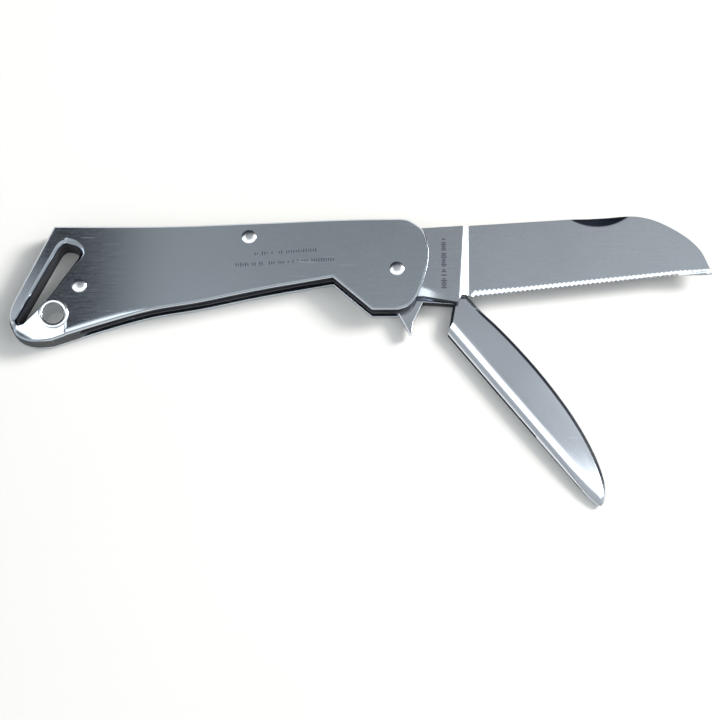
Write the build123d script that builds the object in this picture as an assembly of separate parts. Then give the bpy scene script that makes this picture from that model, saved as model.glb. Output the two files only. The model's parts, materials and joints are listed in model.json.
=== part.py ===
from build123d import *
import os
from math import hypot

# Folding rigging knife: a serrated sheepsfoot blade and a marlinspike turn on one pin between two
# steel handle scales. It is modelled lying on its back scale with the pivot pin on the Z axis,
# +X towards the open blade's tip and +Y towards the handle's spine, then moved so that the
# origin is at the middle of the base.

# ---- the stack of layers, from the back face upwards (mm) ----
SCALE_THICKNESS = 1.6
SPIKE_LAYER = 2.9
LINER_THICKNESS = 0.5
BLADE_LAYER = 2.0
SIDE_CLEARANCE = 0.05
Z_SPIKE = SCALE_THICKNESS
Z_LINER = Z_SPIKE + SPIKE_LAYER
Z_BLADE = Z_LINER + LINER_THICKNESS
Z_FRONT = Z_BLADE + BLADE_LAYER
Z_FACE = Z_FRONT + SCALE_THICKNESS

# ---- corners of the handle's outline ----
TAIL_CORNER, TAIL_LOW = (-87.75, 11.45), (-87.6, -18.7)
BOLSTER_TOP = (0.8, 13.57)

# ---- pins and lanyard eyelet ----
PIVOT = (0.0, 0.0)
SPRING_PIN_AT = (-37.8, 8.5)
TAIL_PIN_AT = (-80.8, -4.5)
LANYARD_AT = (-87.15, -11.9)
PIVOT_RADIUS = 1.5
PIN_RADIUS = 1.25
HEAD_RADIUS = 1.9
HEAD_RISE = 0.45
HEAD_SINK = 0.4
RUNNING_FIT = 0.03
EYELET_BORE = 2.75
EYELET_TUBE = 3.1
EYELET_RIM = 3.85

# ---- shackle-key slot: straight on the tail's side, curving in on the other ----
SLOT_FOOT_LEFT, SLOT_TOP_LEFT = (-96.35, -13.3), (-86.55, 5.6)
SLOT_CROWN, SLOT_TOP_RIGHT = (-83.9, 6.9), (-80.95, 4.2)
SLOT_FOOT_RIGHT, SLOT_TOE = (-94.9, -14.3), (-96.0, -14.45)
SLOT_CHAMFER = 0.5

# ---- springs and tangs ----
SPRING_TIP_X = 4.8
BLADE_TANG_FLAT = 6.8
SPIKE_TANG_FLAT = 6.6
SPIKE_TANG_RADIUS = 7.0
SPRING_LIFT_GAP = 0.06

# ---- blade ----
PLUNGE_START, PLUNGE_END = 15.9, 18.3
GRIND_AT_BACK, GRIND_AT_EDGE = 0.35, 0.7
BACK_START, BACK_END = (4.9, 11.3), (57.5, 14.7)
EDGE_START, EDGE_END = (19.6, -6.95), (73.0, -1.0)
BLADE_TIP = (80.7, -0.7)
TOOTH_PITCH = 1.2
TOOTH_RADIUS = 0.62
TOOTH_DEPTH = 0.5
NICK_CENTRE_X, NICK_LENGTH, NICK_HEIGHT, NICK_DEPTH = 51.5, 15.4, 2.3, 0.85

# ---- marlinspike, drawn open in line with the handle and then turned to its rest angle ----
SPIKE_REST = -50.9
SPIKE_CLOSED = -168.2
SPIKE_TOP = Z_LINER + 0.4
SPIKE_LENGTH = 78.9
# distance from the pivot, inner side, outer side, underside and top of the body's sections
SPIKE_SECTIONS = [
    (12.0, -0.2, 10.1, 0.05, SPIKE_TOP),
    (21.0, -0.2, 10.35, 0.05, SPIKE_TOP),
    (34.0, -0.2, 11.45, 0.05, SPIKE_TOP),
    (46.0, -0.15, 11.5, 0.08, SPIKE_TOP - 0.05),
    (56.0, -0.1, 10.8, 0.12, SPIKE_TOP - 0.2),
    (64.0, 0.0, 9.55, 0.2, SPIKE_TOP - 0.45),
    (70.0, 0.15, 8.0, 0.3, SPIKE_TOP - 0.9),
    (74.5, 0.35, 6.2, 0.4, SPIKE_TOP - 1.5),
    (77.6, 0.75, 4.2, 0.6, SPIKE_TOP - 2.2),
    (SPIKE_LENGTH, 1.3, 2.4, 0.9, SPIKE_TOP - 3.0),
]
SPIKE_END_FACE = [(21.0, -0.2), (15.0, 9.6)]


def plate(outline, bottom, thickness):
    """A flat plate of a closed outline, standing on the height bottom."""
    return extrude(make_face(outline), thickness).moved(Pos(0, 0, bottom))


def rod(at, radius, bottom, top):
    """An upright cylinder at a point."""
    return Pos(at[0], at[1], (bottom + top) / 2) * Cylinder(radius, top - bottom)


def countersink(at, radius, wide, depth):
    """A cone that opens downwards at the back face."""
    return Pos(at[0], at[1], depth / 2) * Cone(wide, radius, depth)


def spine_curve(start, end):
    """The handle's spine, a shallow hollow between the tail corner and the bolster."""
    return Spline([start, (-70.0, 11.4), (-55.0, 11.6), (-35.0, 12.4), (-14.5, 13.3), end])


def tail_end(low, corner):
    """The round lower end of the tail and the straight slope up to its corner."""
    left, slope_foot = (-98.35, -13.2), (-97.3, -8.6)
    return [
        Spline([low, (-90.3, -18.95), (-93.4, -18.7), (-96.5, -17.1), left]),
        Spline([left, (-98.1, -10.6), slope_foot]),
        Line(slope_foot, corner),
    ]


def handle_outline():
    """The scale's outline, clockwise from the tail's upper corner."""
    nose_top, bolster_low = (6.9, 10.1), (0.2, -10.7)
    nose = [nose_top, (8.1, 4.5), (6.7, -2.9), (3.9, -8.8), bolster_low]
    heel, notch = (-6.4, -10.7), (-16.3, -2.15)
    lower_edge = [notch, (-34.8, -5.5), (-50.0, -8.75), (-62.6, -11.0), (-75.2, -14.6), TAIL_LOW]
    return [
        spine_curve(TAIL_CORNER, BOLSTER_TOP),
        ThreePointArc(BOLSTER_TOP, (4.4, 12.6), nose_top),
        Spline(nose, tangents=[(0.5, -0.87), (-1, 0)]),
        Line(bolster_low, heel),
        Line(heel, notch),
        Spline(lower_edge),
        *tail_end(TAIL_LOW, TAIL_CORNER),
    ]


def slot_cutter():
    """The tapered slot as a tool that passes through the whole handle."""
    crown = [SLOT_TOP_LEFT, SLOT_CROWN, (-81.7, 5.9), SLOT_TOP_RIGHT]
    right = [SLOT_TOP_RIGHT, (-81.9, 2.0), (-85.3, -3.0), (-87.8, -6.7), (-91.4, -10.9), SLOT_FOOT_RIGHT]
    outline = [
        Line(SLOT_FOOT_LEFT, SLOT_TOP_LEFT),
        Spline(crown, tangents=[(0.46, 0.89), (-0.3, -0.95)]),
        Spline(right, tangents=[(-0.3, -0.95), (-0.72, -0.69)]),
        ThreePointArc(SLOT_FOOT_RIGHT, SLOT_TOE, SLOT_FOOT_LEFT),
    ]
    return plate(outline, -1, Z_FACE + 2)


def handle_plate(bottom, thickness):
    """A plate of the handle's outline with its slot, eyelet hole and three pin holes."""
    body = plate(handle_outline(), bottom, thickness)
    body = body - slot_cutter() - rod(LANYARD_AT, EYELET_TUBE, -1, Z_FACE + 1)
    body -= rod(PIVOT, PIVOT_RADIUS, -1, Z_FACE + 1)
    body -= rod(SPRING_PIN_AT, PIN_RADIUS, -1, Z_FACE + 1)
    return body - rod(TAIL_PIN_AT, PIN_RADIUS, -1, Z_FACE + 1)


def front_scale():
    """The front handle side; the slot's rim is chamfered."""
    body = handle_plate(Z_FRONT, SCALE_THICKNESS)
    top = body.faces().sort_by(Axis.Z)[-1]
    slot = max(top.inner_wires(), key=lambda wire: wire.length)
    return chamfer(slot.edges(), SLOT_CHAMFER)


def back_scale():
    """The back handle side; its holes are countersunk so that it lies flat."""
    body = handle_plate(0, SCALE_THICKNESS)
    body -= countersink(LANYARD_AT, EYELET_TUBE, EYELET_RIM, HEAD_SINK)
    body -= countersink(PIVOT, PIVOT_RADIUS, HEAD_RADIUS, HEAD_SINK)
    body -= countersink(SPRING_PIN_AT, PIN_RADIUS, HEAD_RADIUS, HEAD_SINK)
    return body - countersink(TAIL_PIN_AT, PIN_RADIUS, HEAD_RADIUS, HEAD_SINK)


def centre_liner():
    """The thin plate between the blade's layer and the spike's layer."""
    return handle_plate(Z_LINER, LINER_THICKNESS)


def pin(at, radius):
    """A rivet: shank, domed head on the front face and flush countersunk head at the back."""
    ball = (HEAD_RADIUS**2 + HEAD_RISE**2) / (2 * HEAD_RISE)
    dome = Pos(at[0], at[1], Z_FACE + HEAD_RISE - ball) * Sphere(ball)
    dome &= Pos(at[0], at[1], Z_FACE + HEAD_RISE / 2) * Box(2 * ball, 2 * ball, HEAD_RISE)
    return rod(at, radius, 0, Z_FACE) + dome + countersink(at, radius, HEAD_RADIUS, HEAD_SINK)


def lanyard_eyelet():
    """A tubular rivet with a flat rim on the front and a flush flare at the back."""
    tube = rod(LANYARD_AT, EYELET_TUBE, 0, Z_FACE)
    tube += rod(LANYARD_AT, EYELET_RIM, Z_FACE, Z_FACE + HEAD_RISE)
    tube = fillet(tube.edges().sort_by(Axis.Z)[-1], 0.25)
    tube += countersink(LANYARD_AT, EYELET_TUBE, EYELET_RIM, HEAD_SINK)
    return tube - rod(LANYARD_AT, EYELET_BORE, -1, Z_FACE + 1)


def spring_outline(head_low, step_low, block_front):
    """A backspring along the spine that widens into a block filling the tail."""
    head, block_low = (SPRING_TIP_X, 12.2), (-80.6, -16.3)
    under = [
        (SPRING_TIP_X, head_low),
        (-6.5, head_low),
        (-8.5, step_low),
        (-17.5, step_low),
        (-33.0, 6.0),
        (-70.0, 5.6),
    ]
    return [
        spine_curve(TAIL_CORNER, BOLSTER_TOP),
        Line(BOLSTER_TOP, head),
        Polyline(head, *under),
        Spline([under[-1]] + block_front + [block_low]),
        Line(block_low, TAIL_LOW),
        *tail_end(TAIL_LOW, TAIL_CORNER),
    ]


def spring(outline, bottom, thickness):
    """A spring plate with its slot, eyelet hole and two pin holes."""
    body = plate(outline, bottom, thickness)
    body = body - slot_cutter() - rod(LANYARD_AT, EYELET_TUBE, -1, Z_FACE + 1)
    body -= rod(SPRING_PIN_AT, PIN_RADIUS, -1, Z_FACE + 1)
    return body - rod(TAIL_PIN_AT, PIN_RADIUS, -1, Z_FACE + 1)


def blade_spring():
    """The blade's backspring; its block clears the tip and point of the closed blade."""
    front = [(-78.5, 4.6), (-81.5, 1.0), (-80.0, -2.6), (-78.9, -4.8), (-77.6, -8.4), (-78.4, -13.0)]
    return spring(spring_outline(BLADE_TANG_FLAT, 8.8, front), Z_BLADE, BLADE_LAYER)


def spike_spring():
    """The spike's backspring, just clear of the round part of the spike's tang."""
    front = [(-76.5, 3.4), (-78.0, -4.5), (-78.2, -13.0)]
    head_low = SPIKE_TANG_RADIUS + SPRING_LIFT_GAP
    return spring(spring_outline(head_low, 8.8, front), Z_SPIKE, SPIKE_LAYER)


def blade_outline():
    """The open blade: tang, kick, notch at the heel, straight edge, tip and dropped back."""
    shoulder, low = (SPRING_TIP_X + 0.1, BACK_START[1]), -BLADE_TANG_FLAT
    kick, notch = (15.6, -8.45), (16.5, -6.4)
    return [
        Line(shoulder, BACK_END),
        Spline([BACK_END, (62.5, 14.6), (67.6, 13.1), (73.65, 9.6), (77.6, 5.8), (79.6, 1.8), BLADE_TIP]),
        Spline([BLADE_TIP, (77.5, -0.95), EDGE_END]),
        Line(EDGE_END, EDGE_START),
        Line(EDGE_START, (18.3, -6.4)),
        Line((18.3, -6.4), notch),
        Line(notch, kick),
        Spline([kick, (11.8, -7.75), (6.9, low)]),
        Line((6.9, low), (-4.5, low)),
        ThreePointArc((-4.5, low), (-7.6, 0), (-4.5, BLADE_TANG_FLAT)),
        Line((-4.5, BLADE_TANG_FLAT), (shoulder[0], BLADE_TANG_FLAT)),
        Line((shoulder[0], BLADE_TANG_FLAT), shoulder),
    ]


def grind_cutter():
    """The tool that thins the blade past the plunge ramp, deeper at the edge than at the back."""
    high, low = 18.0, -12.0
    slope = (GRIND_AT_EDGE - GRIND_AT_BACK) / (BACK_END[1] - EDGE_START[1])

    def depth(y):
        return GRIND_AT_BACK + (BACK_END[1] - y) * slope

    def section(x, sink_high, sink_low):
        return Polyline((x, high, 1), (x, high, -sink_high), (x, low, -sink_low), (x, low, 1), close=True)

    ramp = [section(PLUNGE_START, 0, 0), section(PLUNGE_END, depth(high), depth(low))]
    flat = [section(PLUNGE_END, depth(high), depth(low)), section(90, depth(high), depth(low))]
    tools = [loft([make_face(line) for line in pair], ruled=True) for pair in (ramp, flat)]
    return tools[0] + tools[1]


def tooth_cutter(middle):
    """A row of upright round cutters along the edge that leaves pointed teeth between them."""
    run = (EDGE_END[0] - EDGE_START[0], EDGE_END[1] - EDGE_START[1])
    length = hypot(*run)
    count = int(length / TOOTH_PITCH)
    offset = TOOTH_RADIUS - TOOTH_DEPTH
    cutters = []
    for index in range(count):
        part_way = (index + 0.5) * TOOTH_PITCH / length
        x = EDGE_START[0] + run[0] * part_way + offset * run[1] / length
        y = EDGE_START[1] + run[1] * part_way - offset * run[0] / length
        cutters.append(Pos(x, y, middle) * Cylinder(TOOTH_RADIUS, 2 * BLADE_LAYER))
    return cutters


def blade():
    """The ground sheepsfoot blade with its nail nick, teeth and pivot bore."""
    bottom, thickness = Z_BLADE + SIDE_CLEARANCE, BLADE_LAYER - 2 * SIDE_CLEARANCE
    top = bottom + thickness
    body = plate(blade_outline(), bottom, thickness)
    grind = grind_cutter()
    body -= Pos(0, 0, top) * grind
    body -= Pos(0, 0, bottom) * grind.mirror(Plane.XY)
    nick_radius = (NICK_LENGTH**2 / 4 + NICK_HEIGHT**2) / (2 * NICK_HEIGHT)
    slope = (BACK_END[1] - BACK_START[1]) / (BACK_END[0] - BACK_START[0])
    back_y = BACK_START[1] + (NICK_CENTRE_X - BACK_START[0]) * slope
    nick_at = (NICK_CENTRE_X, back_y - NICK_HEIGHT + nick_radius)
    body -= rod(nick_at, nick_radius, top - NICK_DEPTH, top + 1)
    body -= tooth_cutter((bottom + top) / 2)
    return body - rod(PIVOT, PIVOT_RADIUS + RUNNING_FIT, -1, Z_FACE)


def spike_section(distance, inner, outer, low, high):
    """One cross-section of the spike: flat top, rounded shoulders and a rounder underside."""
    width, height = outer - inner, high - low
    shoulder = min(1.3, 0.22 * width, 0.4 * height)
    belly = min(1.9, 0.3 * width, 0.45 * height)
    corners = [
        (inner + 1.6 * shoulder, high, shoulder),
        (outer - 0.1 * shoulder, high, 0.65 * shoulder),
        (outer, low, belly),
        (inner, low, belly),
    ]
    path = FilletPolyline(*[corner[:2] for corner in corners], radius=[c[2] for c in corners], close=True)
    return Plane(origin=(distance, 0, 0), x_dir=(0, 1, 0), z_dir=(1, 0, 0)) * make_face(path)


def spike_body():
    """The solid spike beyond its slanted end face."""
    body = loft([spike_section(*row) for row in SPIKE_SECTIONS])
    (x0, y0), (x1, y1) = SPIKE_END_FACE
    reach = 3.0
    dx, dy = (x1 - x0) * reach, (y1 - y0) * reach
    behind = Polyline((x0 - dx, y0 - dy), (x0 + dx, y0 + dy), (-40, y0 + dy), (-40, y0 - dy), close=True)
    return body - plate(behind, -1, Z_FACE)


def spike_tang(bottom, thickness):
    """The flat tang: round eye with two flats, shoulder, neck and pointed kick."""
    eye = plate([CenterArc((0, 0), SPIKE_TANG_RADIUS, 0, 360)], bottom, thickness)
    high = Pos(0, SPIKE_TANG_FLAT + 5, 0) * Box(30, 10, 40)
    closed_turn = SPIKE_CLOSED + 180
    neck = [
        (-1.0, 2.0),
        (SPRING_TIP_X + 0.1, 2.0),
        (SPRING_TIP_X + 0.1, 9.6),
        (8.0, 11.3),
        (23.0, 9.8),
        (19.5, 3.2),
        (16.4, 7.0),
        (10.2, 0.3),
        (12.65, -5.0),
        (15.0, -7.7),
        (4.2, -5.6),
    ]
    eye = eye - high - Rot(0, 0, -closed_turn) * Rot(0, 0, 180) * high
    return eye + plate(Polyline(*neck, close=True), bottom, thickness)


def marlinspike():
    """The spike with its tang, turned to the angle it rests at."""
    bottom, thickness = Z_SPIKE + SIDE_CLEARANCE, SPIKE_LAYER - 2 * SIDE_CLEARANCE
    body = spike_body() + spike_tang(bottom, thickness)
    body -= rod(PIVOT, PIVOT_RADIUS + RUNNING_FIT, -1, Z_FACE)
    return Rot(0, 0, SPIKE_REST) * body


def build():
    """Every piece of the knife, by node name, with the pivot on the Z axis."""
    return {
        "front_scale": front_scale(),
        "back_scale": back_scale(),
        "centre_liner": centre_liner(),
        "blade": blade(),
        "marlinspike": marlinspike(),
        "blade_spring": blade_spring(),
        "spike_spring": spike_spring(),
        "pivot_pin": pin(PIVOT, PIVOT_RADIUS),
        "spring_pin": pin(SPRING_PIN_AT, PIN_RADIUS),
        "tail_pin": pin(TAIL_PIN_AT, PIN_RADIUS),
        "lanyard_eyelet": lanyard_eyelet(),
    }


pieces = build()
box = Compound(children=[Compound([s for s in p.solids()]) for p in pieces.values()]).bounding_box()
base_middle = Pos(-round(box.center().X, 2), -round(box.center().Y, 2), 0)
os.makedirs("parts", exist_ok=True)
for name, piece in pieces.items():
    placed = base_middle * piece
    export_step(placed, f"parts/{name}.step")
print("pivot axis at", [round(v, 3) for v in base_middle.position])
print("size", [round(v, 3) for v in box.size])
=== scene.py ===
# %% [markdown]
# # A folding rigging knife in steel
# A sailor's knife: two handle plates, a serrated blade and a marlinspike that turn on one pin, a slot
# in the tail for shackle pins and a lined hole for a lanyard. The engineering model gives every
# dimension, so the first step loads it as a fixed frame and keeps its box. Positions come from that
# frame, because a place that is typed in twice drifts apart sooner or later.

import json
import math

import bmesh
import bpy
import numpy as np
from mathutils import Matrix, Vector, geometry


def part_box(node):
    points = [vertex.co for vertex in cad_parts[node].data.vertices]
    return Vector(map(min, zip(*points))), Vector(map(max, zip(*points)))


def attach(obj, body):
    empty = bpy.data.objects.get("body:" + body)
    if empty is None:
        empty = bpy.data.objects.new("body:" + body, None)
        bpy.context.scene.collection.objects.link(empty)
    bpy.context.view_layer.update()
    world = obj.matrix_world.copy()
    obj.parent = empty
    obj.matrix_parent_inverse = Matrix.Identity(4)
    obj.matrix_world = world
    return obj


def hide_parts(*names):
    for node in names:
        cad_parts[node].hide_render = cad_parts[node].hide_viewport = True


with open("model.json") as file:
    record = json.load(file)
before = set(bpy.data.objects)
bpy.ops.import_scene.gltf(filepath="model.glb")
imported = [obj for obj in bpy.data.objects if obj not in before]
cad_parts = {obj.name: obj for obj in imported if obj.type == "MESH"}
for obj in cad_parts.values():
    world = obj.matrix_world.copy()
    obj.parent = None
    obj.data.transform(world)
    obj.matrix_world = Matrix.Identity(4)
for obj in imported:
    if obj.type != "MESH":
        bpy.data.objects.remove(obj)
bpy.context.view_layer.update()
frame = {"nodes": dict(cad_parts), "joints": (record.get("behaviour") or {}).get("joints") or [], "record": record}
MM = 0.001
PIVOT = Vector(frame["joints"][0]["pos_m"])
HANGER = Vector(frame["record"]["mounts"][0]["pos_m"])


def levels(node):
    """Lowest and highest level of a CAD node, in millimetres."""
    low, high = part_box(node)
    return low.z / MM, high.z / MM


BACK_Z, FRONT_Z = levels("back_scale"), levels("front_scale")
BLADE_Z, LINER_Z, SPIKE_Z = levels("blade"), levels("centre_liner"), levels("spike_spring")
print("levels in mm", BACK_Z, SPIKE_Z, LINER_Z, BLADE_Z, FRONT_Z)

# %% [markdown]
# ## The camera
# A long lens from well above the knife, a little towards the side of its open edges. A far camera with
# a long lens keeps the plates almost free of perspective; a near one would fan the handle out.

# %% Camera
CAMERA_ELEVATION = math.radians(74.5)
CAMERA_DISTANCE = 0.600
AIM = PIVOT + Vector((-9.42 * MM, -22.99 * MM, 0))
AIM.z = 4.3 * MM

camera = bpy.data.objects.new("camera", bpy.data.cameras.new("camera"))
camera.data.sensor_width = 36
camera.data.lens = 118.2
camera.data.clip_start, camera.data.clip_end = 0.01, 20
away = Vector((0, -math.cos(CAMERA_ELEVATION), math.sin(CAMERA_ELEVATION)))
camera.location = AIM + away * CAMERA_DISTANCE
camera.rotation_euler = (math.pi / 2 - CAMERA_ELEVATION, 0, 0)
bpy.context.scene.collection.objects.link(camera)
bpy.context.scene.camera = camera
bpy.context.scene.view_settings.view_transform = "Standard"
print("camera at", [round(v, 4) for v in camera.location])

# %% [markdown]
# ## Sums with sockets
# A procedural finish is mostly arithmetic on masks and noises. Wrapping a socket in a small class lets
# that arithmetic be written as ordinary expressions, and each operator adds its Math node. Wiring the
# nodes one by one gives the same tree but hides the formula.

# %% Node expressions
class Wire:
    """A value travelling through a node tree; sums on it add Math nodes."""

    def __init__(self, desk, socket):
        self.desk, self.socket = desk, socket

    def _math(self, operation, *values):
        return self.desk.node("ShaderNodeMath", {"operation": operation}, dict(enumerate(values)))

    def __add__(self, other):
        return self._math("ADD", self, other)

    def __sub__(self, other):
        return self._math("SUBTRACT", self, other)

    def __rsub__(self, other):
        return self._math("SUBTRACT", other, self)

    def __mul__(self, other):
        return self._math("MULTIPLY", self, other)

    def __truediv__(self, other):
        return self._math("DIVIDE", self, other)

    __radd__, __rmul__ = __add__, __mul__


class Desk:
    """A node tree with one method that adds any node."""

    def __init__(self, tree):
        self.tree = tree

    def node(self, kind, settings=None, inputs=None, output=0):
        made = self.tree.nodes.new(kind)
        for name, value in (settings or {}).items():
            setattr(made, name, value)
        for name, value in (inputs or {}).items():
            if isinstance(value, Wire):
                self.tree.links.new(value.socket, made.inputs[name])
            else:
                made.inputs[name].default_value = value
        return Wire(self, made.outputs[output])

    def node_end(self, kind, shader):
        """The tree's output node."""
        end = self.tree.nodes.new(kind)
        self.tree.links.new(shader.socket, end.inputs["Surface"])

    def step(self, value, start, end, low=0.0, high=1.0):
        """A smooth step from low at start to high at end."""
        settings = {"interpolation_type": "SMOOTHSTEP"}
        return self.node("ShaderNodeMapRange", settings, {0: value, 1: start, 2: end, 3: low, 4: high})

    def blend(self, share, first, second):
        """A colour between two, by a share from 0 to 1."""
        return self.node("ShaderNodeMix", {"data_type": "RGBA"}, {0: share, 6: first, 7: second}, 2)


# %% [markdown]
# ## The studio
# Polished steel shows its surroundings more than its own colour, so the room matters as much as the
# metal. The sky here is painted by direction: a wide soft panel overhead that is brighter towards the
# camera's side, a dark end on the far side, a dark gap past the tail, and two softer panels low on the
# left and right. Lamps alone would leave the steel black wherever it mirrors an empty room.

# %% Studio sky
world = bpy.data.worlds.new("studio")
bpy.context.scene.world = world
world.use_nodes = True
world.node_tree.nodes.clear()
sky = Desk(world.node_tree)
ray = sky.node("ShaderNodeTexCoord", output="Generated")
ray_x = sky.node("ShaderNodeSeparateXYZ", {}, {0: ray}, 0)
ray_y = sky.node("ShaderNodeSeparateXYZ", {}, {0: ray}, 1)
ray_z = sky.node("ShaderNodeSeparateXYZ", {}, {0: ray}, 2)
height = ray_z._math("MAXIMUM", ray_z, 0.05)
across, along = ray_x / height, ray_y / height

DARK_ROOM, CEILING, PAPER_WHITE = 0.03, 0.36, 1.0
COOL, COOLER = (0.92, 0.965, 1.0, 1), (0.55, 0.68, 1.0, 1)


def band(value, low_out, low_in, high_in, high_out):
    """1 between the two inner limits, fading to 0 at the outer ones."""
    return sky.step(value, low_out, low_in) * sky.step(value, high_out, high_in)


ceiling = sky.step(along, 0.62, 0.36, DARK_ROOM, CEILING)
side_rise = sky.step(across, -0.01, 0.2, 1.0, 1.55) * sky.step(across, -0.02, -0.08, 1.0, 1.25)
near_rise = sky.step(along, 0.34, 0.26, 1.0, 1.32)
tail_gap = 1 - 0.985 * band(across, -0.19, -0.155, -0.119, -0.096) * sky.step(along, 0.2, 0.26)
near_panel = 1.3 * band(along, -0.75, -0.4, 0.0, 0.17) * sky.step(across, 0.55, 0.4)
right_panel = 4.0 * band(across, 0.34, 0.46, 0.8, 1.1) * band(along, -0.5, -0.2, 0.4, 0.55)
left_panel = 1.4 * band(across, -1.4, -0.9, -0.3, -0.19) * band(along, -0.9, -0.5, 0.3, 0.45)
upper = ceiling * tail_gap * side_rise * near_rise + near_panel + right_panel + left_panel
low_ring = sky.step(ray_z, 0.26, 0.1) * sky.step(ray_y, 0.55, 0.15, 0.06, 0.6)
radiance = upper * sky.step(ray_z, 0.12, 0.3) + low_ring
tint = sky.blend(sky.step(radiance, 0.0, 0.35), COOLER, COOL)
glow = sky.node("ShaderNodeBackground", {}, {"Color": tint, "Strength": radiance})
seen = sky.node("ShaderNodeBackground", {}, {"Color": (1.0, 1.0, 1.0, 1), "Strength": PAPER_WHITE})
straight = sky.node("ShaderNodeLightPath", output="Is Camera Ray")
mixed = sky.node("ShaderNodeMixShader", {}, {0: straight, 1: glow, 2: seen})
sky.node_end("ShaderNodeOutputWorld", mixed)


# %% [markdown]
# ## Lamp and floor
# One large soft lamp high on the right throws the pale shadows towards the lower left. The floor is a
# matt grey sheet, just pale enough for the lamp to bring it up to white, and faintly mottled.

# %% Lamp and floor
def soft_lamp(name, direction, distance, size, watts, colour):
    lamp = bpy.data.objects.new(name, bpy.data.lights.new(name, "AREA"))
    lamp.data.shape, lamp.data.size = "DISK", size
    lamp.data.energy, lamp.data.color = watts, colour
    towards = Vector(direction).normalized()
    lamp.location = AIM + towards * distance
    lamp.rotation_euler = towards.to_track_quat("Z", "Y").to_euler()
    bpy.context.scene.collection.objects.link(lamp)


soft_lamp("key", (0.68, 0.27, 0.6), 1.2, 0.42, 23.0, (1.0, 0.985, 0.96))


def material(name):
    made = bpy.data.materials.new(name)
    made.use_nodes = True
    made.node_tree.nodes.clear()
    return made, Desk(made.node_tree)


def finish_with(desk, sockets):
    """Ends a material with a Principled shader that has these values and links."""
    shader = desk.node("ShaderNodeBsdfPrincipled", {}, sockets)
    desk.node_end("ShaderNodeOutputMaterial", shader)


paper, desk = material("floor_paper")
where = desk.node("ShaderNodeTexCoord", output="Object")
mottle = desk.node("ShaderNodeTexNoise", {}, {"Vector": where, "Scale": 9.0, "Detail": 3.0}, 0)
tone = desk.blend(mottle, (0.49, 0.482, 0.464, 1), (0.515, 0.507, 0.489, 1))
finish_with(desk, {"Base Color": tone, "Roughness": 0.9})

bpy.ops.mesh.primitive_circle_add(vertices=96, radius=2.5, fill_type="NGON", location=(0, 0, -0.00002))
floor = bpy.context.object
floor.name = "floor"
floor.data.materials.append(paper)

# %% [markdown]
# ## Outlines
# Every flat part of the knife starts as a closed line in millimetres, measured from the pivot: straight
# runs and smooth runs laid end to end. A smooth run passes through the few points that a maker would
# mark out on the plate. A spline object would do as well, but plain points can be offset at once, which
# gives the rounded and chamfered edges.

# %% Outline helpers
def run(points, spacing=0.45):
    """Points along a smooth curve through the given ones; two points give a straight run."""
    path = np.array(points, float)
    if len(path) > 2:
        padded = np.vstack([2 * path[0] - path[1], path, 2 * path[-1] - path[-2]])
        t = np.linspace(0, 1, 24, endpoint=False)[:, None]
        pieces = []
        for a, b, c, d in zip(padded, padded[1:], padded[2:], padded[3:]):
            pieces.append(b + 0.5 * t * (c - a + t * (2 * a - 5 * b + 4 * c - d + t * (3 * (b - c) + d - a))))
        path = np.vstack(pieces + [path[-1]])
    walked = np.r_[0, np.cumsum(np.hypot(*np.diff(path, axis=0).T))]
    stops = np.linspace(0, walked[-1], max(1, round(walked[-1] / spacing)) + 1)
    return np.c_[np.interp(stops, walked, path[:, 0]), np.interp(stops, walked, path[:, 1])]


def closed(*runs):
    """One anticlockwise loop of runs that meet end to end."""
    loop = np.vstack([r[:-1] for r in runs])
    area = np.sum(loop[:, 0] * np.roll(loop[:, 1], -1) - loop[:, 1] * np.roll(loop[:, 0], -1))
    return loop if area > 0 else loop[::-1]


def circle(centre, radius, count=48):
    turn = np.linspace(0, 2 * math.pi, count, endpoint=False)
    return np.c_[centre[0] + radius * np.cos(turn), centre[1] + radius * np.sin(turn)]


def inset(loop, distance):
    """The loop moved to its left by a distance, which is inwards when it runs anticlockwise."""
    before, after = loop - np.roll(loop, 1, 0), np.roll(loop, -1, 0) - loop
    left = [np.c_[-v[:, 1], v[:, 0]] / np.linalg.norm(v, axis=1)[:, None] for v in (before, after)]
    middle = left[0] + left[1]
    middle /= np.linalg.norm(middle, axis=1)[:, None]
    stretch = np.clip((middle * left[0]).sum(1), 0.55, 1)
    return loop + middle * (distance / stretch)[:, None]


def inside(points, loop):
    """Which points lie inside a closed loop."""
    found = np.zeros(len(points), bool)
    for (x0, y0), (x1, y1) in zip(loop, np.roll(loop, -1, 0)):
        spans = (y0 > points[:, 1]) != (y1 > points[:, 1])
        if y0 != y1:
            found ^= spans & (points[:, 0] < (x1 - x0) * (points[:, 1] - y0) / (y1 - y0) + x0)
    return found


def lattice(low, high, spacing):
    """A triangular grid of points that fills a rectangle."""
    lines = []
    for i, y in enumerate(np.arange(low[1], high[1], spacing * 0.866)):
        x = np.arange(low[0] + (i % 2) * spacing / 2, high[0], spacing)
        lines.append(np.c_[x, np.full(len(x), y)])
    return np.vstack(lines)


# %% [markdown]
# ## From an outline to a plate
# A plate is a stack of rings, each the outline moved in a little and set at its own level, so the rings
# trace the rounded edge. The two faces are filled with a triangulated grid rather than one large face,
# because then any point of a face can be sunk: a ground bevel, a plunge, a nail nick or a ground corner.
# A Bevel modifier would round the edges too, but it can't follow a face whose depth varies. One extra
# ring just inside a rounded edge holds the face flat, so its shading doesn't bleed into the rounding.

# %% Plate maker
def level(value, loop):
    return value(loop[:, 0], loop[:, 1]) if callable(value) else np.full(len(loop), float(value))


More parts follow.
